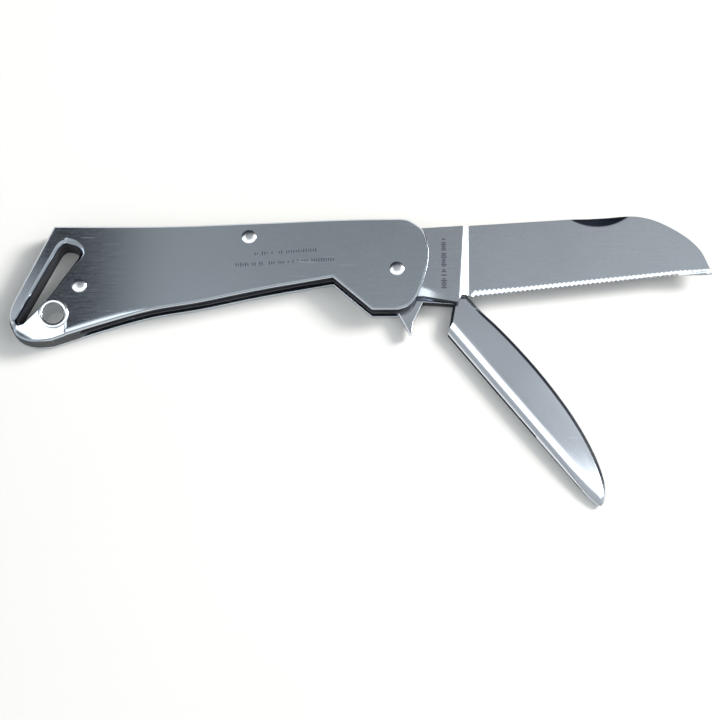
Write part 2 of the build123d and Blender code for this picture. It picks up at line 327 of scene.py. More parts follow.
def fill(loops, inner):
    """Triangles, as rows of point numbers, over the area between an outline and its holes."""
    flat = np.vstack(list(loops) + [inner])
    edges, start = [], 0
    for loop in loops:
        edges += [(start + i, start + (i + 1) % len(loop)) for i in range(len(loop))]
        start += len(loop)
    result = geometry.delaunay_2d_cdt([Vector(p) for p in flat], edges, [], 1, 1e-6)
    source = [origins[0] if origins else -1 for origins in result[3]]
    if -1 in source:
        lost = [tuple(round(c, 2) for c in result[0][i]) for i, s in enumerate(source) if s < 0]
        raise ValueError(f"edges cross at {lost[:8]}")
    triangles = np.array([[source[i] for i in face] for face in result[2] if len(face) == 3])
    middle = flat[triangles].mean(1)
    keep = inside(middle, loops[0])
    for hole in loops[1:]:
        keep &= ~inside(middle, hole)
    triangles = triangles[keep]
    a, b, c = (flat[triangles[:, i]] for i in range(3))
    turned = (b - a)[:, 0] * (c - a)[:, 1] - (b - a)[:, 1] * (c - a)[:, 0] < 0
    triangles[turned] = triangles[turned][:, ::-1]
    return triangles


def grid_inside(loops, grids, gap=0.45):
    """The grid points that lie in the area, clear of its edges and of finer grids listed earlier."""
    border = np.vstack(loops)
    kept = np.zeros((0, 2))
    for index, (low, high, spacing) in enumerate(grids):
        points = lattice(low, high, spacing)
        for finer_low, finer_high, finer in grids[:index]:
            above = (points > np.array(finer_low) - finer / 2).all(1)
            below = (points < np.array(finer_high) + finer / 2).all(1)
            points = points[~(above & below)]
        points = points[inside(points, loops[0])]
        for hole in loops[1:]:
            points = points[~inside(points, hole)]
        for part in np.array_split(points, max(1, len(points) // 500)):
            if len(part):
                near = np.hypot(*(part[:, None] - border[None]).transpose(2, 0, 1)).min(1)
                kept = np.vstack([kept, part[near > gap * min(spacing, 0.6)]])
    return kept


def plate(loops, profiles, low_cap, high_cap, grids):
    """Points and faces of a plate. Each profile is a list of (inset, level) from the bottom up."""
    points, faces, bottoms, tops = [], [], [], []
    count = 0
    for loop, profile, side in zip(loops, profiles, [1] + [-1] * (len(loops) - 1)):
        size, starts = len(loop), []
        for distance, height_at in profile:
            ring = inset(loop, side * level(distance, loop))
            points.append(np.c_[ring, level(height_at, ring)])
            starts.append(count)
            count += size
        for lower, upper in zip(starts, starts[1:]):
            for i in range(size):
                j = (i + 1) % size
                quad = [lower + i, lower + j, upper + j, upper + i]
                faces.append(quad if side > 0 else quad[::-1])
        bottoms.append((starts[0], points[-len(profile)][:, :2]))
        tops.append((starts[-1], points[-1][:, :2]))
    for caps, height_at, up in ((bottoms, low_cap, False), (tops, high_cap, True)):
        rims = [rim for _, rim in caps]
        inner = grid_inside(rims, grids)
        runs = [(start, len(rim)) for start, rim in caps] + [(count, len(inner))]
        numbers = np.concatenate([np.arange(start, start + size) for start, size in runs])
        triangles = numbers[fill(rims, inner)]
        faces += (triangles if up else triangles[:, ::-1]).tolist()
        points.append(np.c_[inner, level(height_at, inner)])
        count += len(inner)
    return np.vstack(points), faces


HOLD = 0.12


def rounded(low, high, low_radius, high_radius, steps=4):
    """A wall profile from one level to another with rounded edges at its foot and its top."""
    turn = np.linspace(0, math.pi / 2, steps + 1)
    foot = [(low_radius * (1 - math.sin(a)), low + low_radius * (1 - math.cos(a))) for a in turn]
    head = [(high_radius * (1 - math.cos(a)), high - high_radius * (1 - math.sin(a))) for a in turn]
    first = [(low_radius + HOLD, low)] if low_radius else []
    last = [(high_radius + HOLD, high)] if high_radius else []
    return first + foot + head + last


def sunk(profile, depth, above):
    """The same profile with everything above a level lowered by a depth that varies over the plate."""
    return [(d, (lambda x, y, z=z: z - depth(x, y)) if z > above else z) for d, z in profile]


def make_piece(name, points, faces, finish, body, node_names=(), slot=None, sharp=30.0, painted_shade_faces=None):
    """A mesh object in the knife's own place, from points in millimetres measured from the pivot.

    The test picks the faces that get the near-black finish, which paints shade onto those walls, from
    their middle and their normal.
    """
    mesh = bpy.data.meshes.new(name)
    origin = np.array([PIVOT.x, PIVOT.y, 0.0])
    mesh.from_pydata((np.asarray(points) * MM + origin).tolist(), [], [list(f) for f in faces])
    tool = bmesh.new()
    tool.from_mesh(mesh)
    bmesh.ops.remove_doubles(tool, verts=tool.verts, dist=1e-7)
    bmesh.ops.recalc_face_normals(tool, faces=tool.faces)
    tool.to_mesh(mesh)
    tool.free()
    mesh.shade_smooth()
    mesh.set_sharp_from_angle(angle=math.radians(sharp))
    mesh.materials.append(finish)
    # Faces picked by the test get the near-black finish: painted shade on those walls.
    if painted_shade_faces:
        mesh.materials.append(shade_painted_edge_steel)
        for face in mesh.polygons:
            middle = (np.array(face.center) - origin) / MM
            face.material_index = int(painted_shade_faces(middle, face.normal))
    return settle(bpy.data.objects.new(name, mesh), body, node_names)


def settle(piece, body, node_names):
    """Puts a finished piece in the scene, on its body, in place of its CAD nodes."""
    if piece.name not in bpy.context.scene.collection.objects:
        bpy.context.scene.collection.objects.link(piece)
    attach(piece, body)
    if node_names:
        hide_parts(*node_names)
    print(piece.name, len(piece.data.vertices), "points,", len(piece.data.polygons), "faces")
    return piece


# %% [markdown]
# ## Steel finishes
# The whole knife is stainless steel, but no two parts are finished alike: the handle plates are fine
# satin, brushed lengthwise, the blade is a little brighter, and the spike and rivets are buffed. The
# stamped marks keep the dark skin that steel gets in the furnace, which hardly shines. The springs and the
# liner are near-black and dull: partly their unpolished skin and partly painted shade for the gap between
# the plates. Most walls of the plates, the blade's heel, the spike's tang and its butt get a near-black
# matt finish: partly sawn edges and partly painted shade on those walls. Each finish is the same recipe
# with other numbers: long thin streaks in the tint and roughness, a fine pit texture, a few stray
# scratches, and a very shallow bump. A painted texture would not stay sharp close up.

# %% Steel recipe
def steel(name, light, dark, roughness, grain=0.0, streak=0.5, bump=0.25, metallic=1.0, shine=0.5):
    """Brushed steel whose grain runs at an angle, in degrees, to the handle; lengths in metres."""
    made, desk = material(name)
    where = desk.node("ShaderNodeTexCoord", output="Object")

    def turned_grain(vector, angle, scale=(1, 1, 1)):
        turn = (0, 0, math.radians(angle))
        return desk.node("ShaderNodeMapping", {}, {"Vector": vector, "Rotation": turn, "Scale": scale})

    def noise(vector, scale, detail, roughness=0.5):
        values = {"Vector": vector, "Scale": scale, "Detail": detail, "Roughness": roughness}
        return desk.node("ShaderNodeTexNoise", {}, values, 0)

    along_grain = turned_grain(where, -grain)

    def streaks(length, width):
        stretched = turned_grain(along_grain, 0, (1 / length, 1 / width, 1 / width))
        return noise(stretched, 1.0, 2.0, 0.6)

    brush = streaks(0.006, 0.00022)
    fine = streaks(0.002, 0.00008)
    pits = noise(where, 1500.0, 3.0, 0.7)
    cloud = noise(where, 55.0, 2.0)
    scratch = desk.step(noise(turned_grain(where, 38 - grain, (70, 2400, 900)), 1.0, 1.0), 0.735, 0.8)
    share = 0.5 + streak * (brush + fine + pits + cloud - 2.0)
    tint = desk.blend(desk.step(share, 0.0, 1.0), (*dark, 1), (*light, 1))
    tint = desk.blend(0.25 * scratch, tint, (0.9, 0.9, 0.9, 1))
    rough = roughness + 0.07 * (brush - 0.5) + 0.06 * (pits - 0.5) + 0.04 * (cloud - 0.5) + 0.08 * scratch
    relief = brush * 0.5 + fine * 0.25 + pits * 0.35 - scratch * 0.6
    normal = desk.node("ShaderNodeBump", {}, {"Strength": bump, "Distance": 0.00002, "Height": relief})
    values = {"Base Color": tint, "Metallic": metallic, "Roughness": rough, "Specular IOR Level": shine}
    finish_with(desk, {**values, "Normal": normal})
    return made


plate_steel = steel("plate_steel", (0.6, 0.65, 0.705), (0.52, 0.565, 0.615), 0.1, bump=0.08)
blade_steel = steel("blade_steel", (0.64, 0.675, 0.72), (0.55, 0.585, 0.63), 0.12, grain=3.5, bump=0.08)
spike_steel = steel("spike_steel", (0.72, 0.755, 0.81), (0.63, 0.665, 0.72), 0.12, -50.9, 0.35, 0.06)
rivet_steel = steel("rivet_steel", (0.82, 0.835, 0.85), (0.7, 0.715, 0.74), 0.2, streak=0.3, bump=0.1)
# Springs and liner: near-black, their dull skin and also painted shade for the gap between the plates.
SPRING_AND_GAP_SHADE_SKIN = (0.045, 0.047, 0.055), (0.022, 0.023, 0.028)
# Near-black walls: painted shade on the edges of plates, blade and spike, partly standing for sawn edges.
EDGE_SHADE_SKIN = (0.024, 0.026, 0.034), (0.01, 0.011, 0.016)
STAMP_SKIN = (0.06, 0.064, 0.078), (0.03, 0.032, 0.042)
spring_steel = steel("spring_steel", *SPRING_AND_GAP_SHADE_SKIN, 0.45, metallic=0.1, shine=0.15)
shade_painted_edge_steel = steel("shade_painted_edge_steel", *EDGE_SHADE_SKIN, 0.5, metallic=0.0, shine=0.1)
stamp_oxide = steel("stamp_oxide", *STAMP_SKIN, 0.6, metallic=0.0, shine=0.08)


# %% [markdown]
# ## The handle plates
# Two matching plates make the handle. The outline has a long shallow spine, a deep bolster round the
# pivot and a flared tail. The front plate's tail corner is ground down beside the lanyard hole, and the
# grinding runs on along the lower edge as a narrow bevel, so the corner catches the light.

# %% Handle outline
SPINE = [(-87.75, 11.45), (-70.0, 11.4), (-55.0, 11.6), (-35.0, 12.4), (-14.5, 13.3), (0.8, 13.57)]
NOSE = [
    (0.8, 13.57), (3.0, 13.2), (5.4, 11.7), (6.9, 10.1), (7.8, 7.3), (8.1, 4.3),
    (7.7, 0.8), (6.7, -2.9), (5.5, -6.4),
]
CHIN = [(5.5, -6.4), (3.9, -8.85), (2.2, -10.1), (0.2, -10.7)]
LOWER_EDGE = [(-16.3, -2.15), (-34.8, -5.5), (-50.0, -8.75), (-62.6, -11.0), (-75.2, -14.6), (-87.6, -18.7)]
TAIL_CURVE = [
    (-87.6, -18.7), (-90.3, -18.95), (-93.4, -18.7), (-96.5, -17.1),
    (-98.2, -13.2), (-98.05, -10.8), (-97.3, -8.6),
]
BOLSTER_CORNER = (-6.4, -10.7)
SLOT_SIDE = [(-96.35, -13.3), (-86.55, 5.6)]
SLOT_CROWN = [(-86.55, 5.6), (-85.4, 6.8), (-83.9, 6.95), (-82.4, 6.4), (-81.2, 5.3), (-80.9, 4.2)]
SLOT_FLANK = [(-80.9, 4.2), (-81.9, 2.0), (-85.3, -3.0), (-87.8, -6.7), (-91.4, -10.9), (-94.9, -14.3)]
SLOT_TOE = [(-94.9, -14.3), (-96.0, -14.45), (-96.35, -13.3)]
SPRING_PIN, TAIL_PIN = (-37.8, 8.5), (-80.8, -4.5)
EYELET = tuple((HANGER - PIVOT)[i] / MM for i in (0, 1))
PIVOT_BORE, PIN_BORE, EYELET_TUBE = 1.5, 1.25, 3.1

handle_line = closed(
    run(SPINE, 0.8), run(NOSE, 0.35), run(CHIN, 0.35), run([CHIN[-1], BOLSTER_CORNER]),
    run([BOLSTER_CORNER, LOWER_EDGE[0]]), run(LOWER_EDGE, 0.5), run(TAIL_CURVE, 0.4),
    run([TAIL_CURVE[-1], SPINE[0]]),
)
slot_line = closed(run(SLOT_SIDE, 0.4), run(SLOT_CROWN, 0.3), run(SLOT_FLANK, 0.4), run(SLOT_TOE, 0.25))
bores = [circle(EYELET, EYELET_TUBE), circle((0, 0), PIVOT_BORE, 32)]
bores += [circle(pin, PIN_BORE, 32) for pin in (SPRING_PIN, TAIL_PIN)]
print("handle line", len(handle_line), "points; eyelet at", [round(v, 2) for v in EYELET])

# %% [markdown]
# The ground corner is a flat that starts on a line through the lanyard hole and falls away from it. Its
# depth is simply the distance past that line times a slope, ended sharply where the grinding stopped. The
# strip on the tail's side of the slot was not ground with it; it only leans outwards a little. The outer
# edge has a narrow chamfer, and the slot a wider one, which is widest round its top.

# %% Front plate
CORNER_START, CORNER_FALL = np.array([-90.5, -9.0]), np.array([-0.52, -0.855])
CORNER_SLOPE, CORNER_END_X = math.tan(math.radians(7.5)), -84.0
BEVEL_SLOPE = math.tan(math.radians(12.0))


def beyond_slot(x, y):
    """Distance to the right of the slot's straight side."""
    return (x - SLOT_SIDE[0][0]) * 0.888 - (y - SLOT_SIDE[0][1]) * 0.46


def ground_corner(x, y):
    """How deep the front plate's tail corner, strip and lower bevel are ground."""
    past = (x - CORNER_START[0]) * CORNER_FALL[0] + (y - CORNER_START[1]) * CORNER_FALL[1]
    ended = np.clip((CORNER_END_X - x) / 0.3, 0, 1)
    not_strip = np.clip(np.maximum(0.3 + beyond_slot(x, y) / 0.8, (-15.1 - y) / 0.8), 0, 1)
    corner = np.clip(past, 0, 9) * CORNER_SLOPE * ended * not_strip
    left_of_slot = np.clip((-86.9 - x) - (5.6 - y) * 0.519, 0, 6)
    corner = np.maximum(corner, left_of_slot * np.interp(y, [-12, 6], [0.03, 0.006]))
    edge_y = np.interp(x, [p[0] for p in LOWER_EDGE[::-1]], [p[1] for p in LOWER_EDGE[::-1]])
    width = np.interp(x, [-86, -70, -60], [0.95, 0.85, 0.0])
    bevel = np.clip(edge_y + 0.3 + width - y, 0, 1.4) * BEVEL_SLOPE * (x > -90) * np.clip(width / 0.3, 0, 1)
    return np.maximum(corner, bevel * (1 - ended) + corner * ended)


edge_wall = sunk([
    (0.1, FRONT_Z[0]), (0.0, FRONT_Z[0] + 0.1), (0.0, FRONT_Z[1] - 0.6), (0.05, FRONT_Z[1] - 0.48),
    (0.42, FRONT_Z[1] - 0.07), (0.52, FRONT_Z[1]), (0.64, FRONT_Z[1]),
], ground_corner, FRONT_Z[0] + 0.3)


def slot_chamfer(x, y):
    """The width of the slot's chamfer: widest round its top, and narrow beside the eyelet."""
    room = np.clip(np.hypot(x - EYELET[0], y - EYELET[1]) - 3.45, 0.12, 2)
    return np.minimum(room, np.where(beyond_slot(x, y) > 0.9, np.interp(y, [0.5, 4.0], [0.3, 1.15]), 0.7))


def chamfer_ring(share, drop):
    """One ring of the chamfer, in shares of its width: out from the slot, and down from the face."""
    def height_at(x, y):
        return FRONT_Z[1] - drop * slot_chamfer(x, y) - ground_corner(x, y)

    return (lambda x, y: share * slot_chamfer(x, y), height_at)


slot_wall = [
    (0.0, FRONT_Z[0]), chamfer_ring(0.0, 1.05), chamfer_ring(0.08, 0.93), chamfer_ring(0.5, 0.5),
    chamfer_ring(0.93, 0.06), chamfer_ring(1.0, 0.0), chamfer_ring(1.1, 0.0),
]
bore_wall = sunk([(0.0, FRONT_Z[0]), (0.0, FRONT_Z[1])], ground_corner, FRONT_Z[0] + 0.3)
front = plate(
    [handle_line, slot_line] + bores, [edge_wall, slot_wall] + [bore_wall] * 4,
    FRONT_Z[0], lambda x, y: FRONT_Z[1] - ground_corner(x, y),
    [((-99, -20), (-82, -7), 0.4), ((-82, -17.5), (-58, -9), 0.5), ((-100, -21), (10, 15), 1.6)],
)
# Every wall of the front plate gets the near-black finish, painted shade on its edges.
make_piece(
    "front_plate", *front, plate_steel, "handle", ["front_scale"], "scale_steel",
    painted_shade_faces=lambda middle, normal: abs(normal.z) < 0.3,
)

# %% Back plate
back_wall = rounded(*BACK_Z, 0.4, 0.1)


def sunk_bore(flare):
    """The wall of a bore that flares out at the back face."""
    return [(flare, BACK_Z[0]), (0.0, BACK_Z[0] + 0.4), (0.0, BACK_Z[1])]


back = plate(
    [handle_line, slot_line] + bores,
    [back_wall, rounded(*BACK_Z, 0.1, 0.0), sunk_bore(0.3)] + [sunk_bore(0.62)] * 3,
    BACK_Z[0], BACK_Z[1], [((-100, -21), (10, 15), 2.0)],
)
slot_area = inset(slot_line, -0.3)
# The slot's walls in the back plate get the near-black finish, painted shade in the slot.
make_piece(
    "back_plate", *back, plate_steel, "handle", ["back_scale"], "scale_steel",
    painted_shade_faces=lambda middle, normal: abs(normal.z) < 0.3 and inside(middle[None, :2], slot_area)[0],
)

# %% [markdown]
# ## The blade
# The blade is one plate with everything ground into it: a flat by the handle, a short ramp where the
# grinding wheel plunged in, a thin body, a narrow bevel along the edge with a gullet between each two
# teeth, and a crescent nick in the back for a thumbnail. All of these are depths added together, so the
# blade is made by the same plate maker with one depth for each side.

# %% Blade shape
BACK_LINE = [(4.9, 11.3), (57.5, 14.7)]
BACK_DROP = [
    (57.5, 14.7), (62.5, 14.55), (67.6, 13.05), (73.65, 9.55), (77.6, 5.8), (79.6, 1.8), (80.6, -0.75),
]
HEEL_TOP, HEEL_LOW, KICK = (18.3, -6.4), (16.5, -6.4), (15.6, -8.45)
TANG_BEND, TANG_TOP, TANG_LOW = (6.9, -6.8), (-4.5, 6.8), (-4.5, -6.8)
EDGE_FROM, EDGE_TO = np.array([19.6, -6.95]), np.array([73.0, -1.0])
TOOTH_PITCH, TOOTH_DEPTH = 1.2, 0.5
BEVEL_TOP = ([19.6, 31.4, 51.8, 72.3, 78.0], [-4.7, -3.9, -1.75, 0.4, 0.6])
BLADE_MIDDLE, BLADE_HALF = sum(BLADE_Z) / 2, (BLADE_Z[1] - BLADE_Z[0]) / 2
EDGE_HALF = 0.06
edge_run = EDGE_TO - EDGE_FROM
EDGE_LENGTH = float(np.hypot(*edge_run))
EDGE_ALONG = edge_run / EDGE_LENGTH
EDGE_IN = np.array([-EDGE_ALONG[1], EDGE_ALONG[0]])


def tooth_line():
    """The serrated edge from the heel to the tip: a round gullet between each two points."""
    count = int(EDGE_LENGTH / TOOTH_PITCH)
    phase = np.linspace(0, count, count * 10 + 1)
    gullet = np.sqrt(np.clip(1 - (2 * (phase % 1) - 1) ** 2, 0, 1)) * TOOTH_DEPTH
    ends = EDGE_FROM + EDGE_ALONG * TOOTH_PITCH * phase[:, None] + EDGE_IN * gullet[:, None]
    return ends[::-1]


def edge_place(x, y):
    """Distance along the edge, and the height above it."""
    dx, dy = x - EDGE_FROM[0], y - EDGE_FROM[1]
    return dx * EDGE_ALONG[0] + dy * EDGE_ALONG[1], dx * EDGE_IN[0] + dy * EDGE_IN[1]


def blade_sink(x, y):
    """How far each side of the blade is ground in."""
    ramp_start = 17.1 - (11.5 - y) / 15.0
    ramp = np.clip((x - ramp_start) / (18.3 - ramp_start), 0, 1)
    ramp = ramp * (0.85 + 0.15 * ramp)
    body = (0.35 + np.clip(14.7 - y, 0, 22) * 0.016) * ramp
    along_edge, above_edge = edge_place(x, y)
    edge_y = EDGE_FROM[1] + (x - EDGE_FROM[0]) * EDGE_ALONG[1] / EDGE_ALONG[0]
    bevel_height = 0.86 * (np.interp(x, *BEVEL_TOP) - edge_y)
    scallop = np.sqrt(np.clip(1 - (2 * (along_edge / TOOTH_PITCH % 1) - 1) ** 2, 0, 1))
    share = np.clip(1 - above_edge / (bevel_height * (0.35 + 0.65 * scallop)), 0, 1.2)
    share = share * np.clip((x - 19.0) / 0.5, 0, 1)
    edge = (BLADE_HALF - EDGE_HALF - body) * np.clip(share * 1.1, 0, 1)
    tang_edge = np.interp(x, [5, 13, 15.5], [-3.7, -6.6, -8.4])
    soft = np.clip(tang_edge - y, 0, 3) * 0.13 * np.clip((13 - x) / 5, 0, 1) * np.clip((x - 3) / 3, 0, 1)
    return np.minimum(np.maximum(body + edge, soft), BLADE_HALF - EDGE_HALF * 0.8)


NICK_LENGTH, NICK_HEIGHT, NICK_DEPTH, NICK_X = 15.4, 2.5, 0.8, 51.5
NICK_RADIUS = (NICK_LENGTH**2 / 4 + NICK_HEIGHT**2) / (2 * NICK_HEIGHT)


def nick_sink(x, y):
    """The thumbnail nick: a crescent that deepens towards the blade's back."""
    back_y = 11.3 + (x - 4.9) * 0.0646
    lowest = 11.3 + (NICK_X - 4.9) * 0.0646 - NICK_HEIGHT
    arc = lowest + NICK_RADIUS - np.sqrt(np.clip(NICK_RADIUS**2 - (x - NICK_X) ** 2, 0, None))
    inside_ends = np.clip((back_y + 0.6 - arc) / 1.2, 0, 1)
    return np.clip((y - arc) / NICK_HEIGHT, 0, 1) ** 1.5 * NICK_DEPTH * inside_ends


def blade_top(x, y):
    depth = np.minimum(blade_sink(x, y) + nick_sink(x, y), 2 * BLADE_HALF - 0.5 - blade_sink(x, y))
    return BLADE_MIDDLE + BLADE_HALF - np.maximum(depth, blade_sink(x, y))


def blade_bottom(x, y):
    return BLADE_MIDDLE - BLADE_HALF + blade_sink(x, y)


teeth = tooth_line()
blade_line = closed(
    run(BACK_LINE, 0.4), run(BACK_DROP, 0.4),
    run([BACK_DROP[-1], (78.8, -0.95), (76.0, -1.0), tuple(teeth[0])], 0.3),
    np.vstack([teeth, [HEEL_TOP]]), run([HEEL_TOP, HEEL_LOW], 0.3), run([HEEL_LOW, KICK], 0.3),
    run([KICK, (11.8, -7.75), TANG_BEND], 0.4), run([TANG_BEND, TANG_LOW], 0.6),
    run([TANG_LOW, (-6.8, -3.6), (-7.6, 0), (-6.8, 3.6), TANG_TOP], 0.5), run([TANG_TOP, (4.9, 6.8)], 0.6),
    run([(4.9, 6.8), BACK_LINE[0]], 0.5),
)
EDGE_ROUND, RUNNING_FIT = 0.05, 0.03
blade_wall = [
    (EDGE_ROUND, blade_bottom), (0.0, lambda x, y: blade_bottom(x, y) + EDGE_ROUND * 0.8),
    (0.0, lambda x, y: blade_top(x, y) - EDGE_ROUND * 0.8), (EDGE_ROUND, blade_top),
]
tang_bore = circle((0, 0), PIVOT_BORE + RUNNING_FIT, 32)
blade_mesh = plate(
    [blade_line, tang_bore], [blade_wall, [(0, BLADE_Z[0]), (0, BLADE_Z[1])]], blade_bottom, blade_top,
    [((18.8, -7.2), (79, 1.4), 0.17), ((15.0, -8.6), (18.8, 13), 0.3), ((42.5, 10.6), (60.5, 15), 0.28),
     ((5, -8), (15, -3), 0.5), ((-8, -9), (81, 15.5), 1.4)],
)
# The lower walls of the tang and heel get the near-black finish, painted shade under the ricasso.
make_piece(
    "sheepsfoot_blade", *blade_mesh, blade_steel, "blade", ["blade"], "blade_steel", sharp=22.0,
    painted_shade_faces=lambda middle, normal: abs(normal.z) < 0.9 and middle[0] < 18.4 and middle[1] < 3,
)

# %% [markdown]
# ## The marlinspike
# A forged spike with a D-shaped section: a flat face towards the front, a bright bevel along its inner
# edge, a chamfered shoulder along the outer one and a full belly beneath. It is lofted: each station along
# its length has its own widths and levels, and the section is threaded through them. The butt end is cut
# off at a slant and chamfered. A sculpted lump would need many more points to keep these clean lines.

# %% Marlinspike
SPIKE_TURN = math.radians(-50.9)
SPIKE_TOP = LINER_Z[0] + 0.4
# distance from the pivot: inner side, face's edge, outer side, lowest and highest level
STATIONS = np.array([
    (12.0, -0.2, 2.7, 10.1, 0.05, SPIKE_TOP), (21.0, -0.2, 2.7, 10.35, 0.05, SPIKE_TOP),
    (27.0, -0.2, 2.7, 11.0, 0.05, SPIKE_TOP), (34.0, -0.2, 2.7, 11.45, 0.05, SPIKE_TOP),
    (42.0, -0.18, 2.7, 11.6, 0.06, SPIKE_TOP), (49.5, -0.12, 2.7, 11.35, 0.08, SPIKE_TOP - 0.08),
    (57.0, -0.05, 2.72, 10.7, 0.12, SPIKE_TOP - 0.22), (64.0, 0.05, 2.75, 9.55, 0.2, SPIKE_TOP - 0.48),
    (70.0, 0.2, 2.78, 8.0, 0.3, SPIKE_TOP - 0.9), (74.5, 0.4, 2.75, 6.2, 0.42, SPIKE_TOP - 1.45),
    (77.2, 0.75, 2.5, 4.4, 0.6, SPIKE_TOP - 2.1), (78.5, 1.15, 2.1, 3.0, 0.85, SPIKE_TOP - 2.75),
    (78.85, 1.45, 1.95, 2.4, 1.05, SPIKE_TOP - 3.1),
])


def bezier(a, b, c, d, steps):
    """Points along one Bezier curve, without its first."""
    t = np.linspace(0, 1, steps + 1)[1:, None]
    a, b, c, d = (np.array(p, float) for p in (a, b, c, d))
    return a * (1 - t) ** 3 + 3 * b * t * (1 - t) ** 2 + 3 * c * t * t * (1 - t) + d * t**3


def spike_ring(inner, face, outer, low, high):
    """One cross-section as (sideways, level) points, round the section once."""
    tall, wide = high - low, outer - inner
    shoulder, bevel, crown = min(0.95, 0.16 * wide), min(0.5, 0.12 * tall), 0.05 * min(1, wide / 8)
    foot = face - min(1.25, 0.14 * wide)
    flat_start, flat_turn = outer - shoulder, np.linspace(0, 1, 11)
    top = [(flat_start + (face - flat_start) * t, high - crown * (2 * t - 1) ** 4) for t in flat_turn]
    slope_turn = np.linspace(0.15, 1, 5)
    slope = [(face + (foot - face) * t, high - crown - bevel * t**1.25) for t in slope_turn]

    def at(across_share, up_share):
        return (inner + across_share * wide, low + up_share * tall)

    under_foot = (inner + 0.25 * (foot - inner), high - bevel - 0.25 * tall)
    curve_in = bezier(slope[-1], under_foot, at(0, 0.55), at(0.02, 0.33), 6)
    belly_in = bezier(curve_in[-1], at(0.05, 0.08), at(0.12, 0), at(0.3, 0), 6)
    belly_out = bezier(belly_in[-1], at(0.75, 0), at(0.96, 0.12), at(1, 0.5), 8)
    chamfer = [(0, 0.8), (0.1, 0.54), (0.92, 0.1)]
    round_out = [(outer - inwards * shoulder, high - down * shoulder) for inwards, down in chamfer]
    return np.array(top + slope + [*curve_in, *belly_in, *belly_out, at(1, 0.6), at(1, 0.7)] + round_out)


def loft(spacing=0.7):
    """Points and faces of the spike, from rings threaded through the stations."""
    spots = run(np.c_[STATIONS[:, 0], STATIONS[:, 3]], spacing)[:, 0]
    smooth = {i: run(STATIONS[:, [0, i]], 0.2) for i in range(1, 6)}
    rings = []
    for u in spots:
        values = [np.interp(u, smooth[i][:, 0], smooth[i][:, 1]) for i in range(1, 6)]
        section = spike_ring(*values)
        rings.append(np.c_[np.full(len(section), u), section])
    size, points = len(rings[0]), np.vstack(rings)
    faces = []
    for k in range(len(rings) - 1):
        for i in range(size):
            j = (i + 1) % size
            faces.append([k * size + i, k * size + j, (k + 1) * size + j, (k + 1) * size + i])
    faces += [list(range(size)), list(range(len(points) - size, len(points)))[::-1]]
    return points, faces


def turned(points, angle):
    """Points turned about the pivot's axis."""
    c, s = math.cos(angle), math.sin(angle)
    return np.c_[points[:, 0] * c - points[:, 1] * s, points[:, 0] * s + points[:, 1] * c, points[:, 2]]


def cut(points, faces, planes):
    """The shape with what lies beyond each plane cut off and the cut closed."""
    tool = bmesh.new()
    made = [tool.verts.new(p) for p in points]
    for face in faces:
        tool.faces.new([made[i] for i in face])
    for where, facing in planes:
        whole = tool.verts[:] + tool.edges[:] + tool.faces[:]
        found = bmesh.ops.bisect_plane(tool, geom=whole, plane_co=where, plane_no=facing, clear_outer=True)
        rim = [e for e in found["geom_cut"] if isinstance(e, bmesh.types.BMEdge)]
        bmesh.ops.holes_fill(tool, edges=rim, sides=0)
    tool.verts.index_update()
    result = np.array([v.co[:] for v in tool.verts]), [[v.index for v in f.verts] for f in tool.faces]
    tool.free()
    return result


END_OUT = Vector((-0.752, -0.66, 0))
END_AT, END_CHAMFER_AT = (21.2, -0.6, 0), (20.5, 1.3, SPIKE_TOP)
spike_points, spike_faces = loft()
spike_points, spike_faces = cut(spike_points, spike_faces, [
    (END_AT, END_OUT), (END_CHAMFER_AT, (END_OUT + Vector((0, 0, 0.9))).normalized()),
])
butt_out = turned(np.array([END_OUT]), SPIKE_TURN)[0]
# The butt's end face gets the near-black finish, painted shade on the cut end.
make_piece(
    "marlinspike_body", turned(spike_points, SPIKE_TURN), spike_faces, spike_steel, "spike", ["marlinspike"],
    "spike_steel", sharp=24.0, painted_shade_faces=lambda middle, normal: np.dot(normal, butt_out) > 0.6,
)

# %% [markdown]
# The spike's tang is a flat plate: a round eye on the pin, a neck that runs under the blade to the butt
# end, and the pointed kick that stops the spike against its spring.

# %% Tang of the marlinspike
TANG_Z = (SPIKE_Z[0] + 0.05, SPIKE_Z[1] - 0.05)
eye_turn = np.radians(np.arange(42, 308, 7))
eye = np.c_[6.55 * np.cos(eye_turn), 6.55 * np.sin(eye_turn)]
KICK_TIP, KICK_SIDE, NECK = [(14.4, -7.56), (14.9, -7.25)], (12.65, -5.0), (10.2, 0.3)
EYE_LOW, EYE_HIGH = (4.2, -5.6), (4.95, 9.6)
neck_corners = [
    NECK, (16.4, 7.0), (19.5, 4.2), (22.0, 9.0), (12.5, 9.3), (8.0, 10.9), EYE_HIGH, tuple(eye[0]),
]
tang_line = closed(
    np.vstack([eye, [EYE_LOW]]), run([EYE_LOW, KICK_TIP[0]]), run(KICK_TIP, 0.6),
    run([KICK_TIP[1], KICK_SIDE], 0.6), run([KICK_SIDE, NECK]),
    *[run([start, end]) for start, end in zip(neck_corners, neck_corners[1:])],
)
tang_walls = [rounded(*TANG_Z, 0.1, 0.1), rounded(*TANG_Z, 0, 0)]
tang = plate([tang_line, tang_bore], tang_walls, *TANG_Z, [((-8, -9), (24, 12), 1.2)])
# Most of the tang's walls get the near-black finish, painted shade on its edges.
make_piece(
    "marlinspike_tang", turned(tang[0], SPIKE_TURN), tang[1], spike_steel, "spike", [], "spike_steel",
    painted_shade_faces=lambda middle, normal: abs(normal.z) < 0.9 and not (middle[0] < 7 and middle[1] < -8.5),
)

# %% [markdown]
# ## Springs and liner
# Between the plates lie two back springs and a thin liner. Their flat shapes come straight from the
# engineering model, so they keep its meshes and only get a duller, unpolished steel, almost black: partly
# their dull skin and partly painted shade for the gap between the plates.

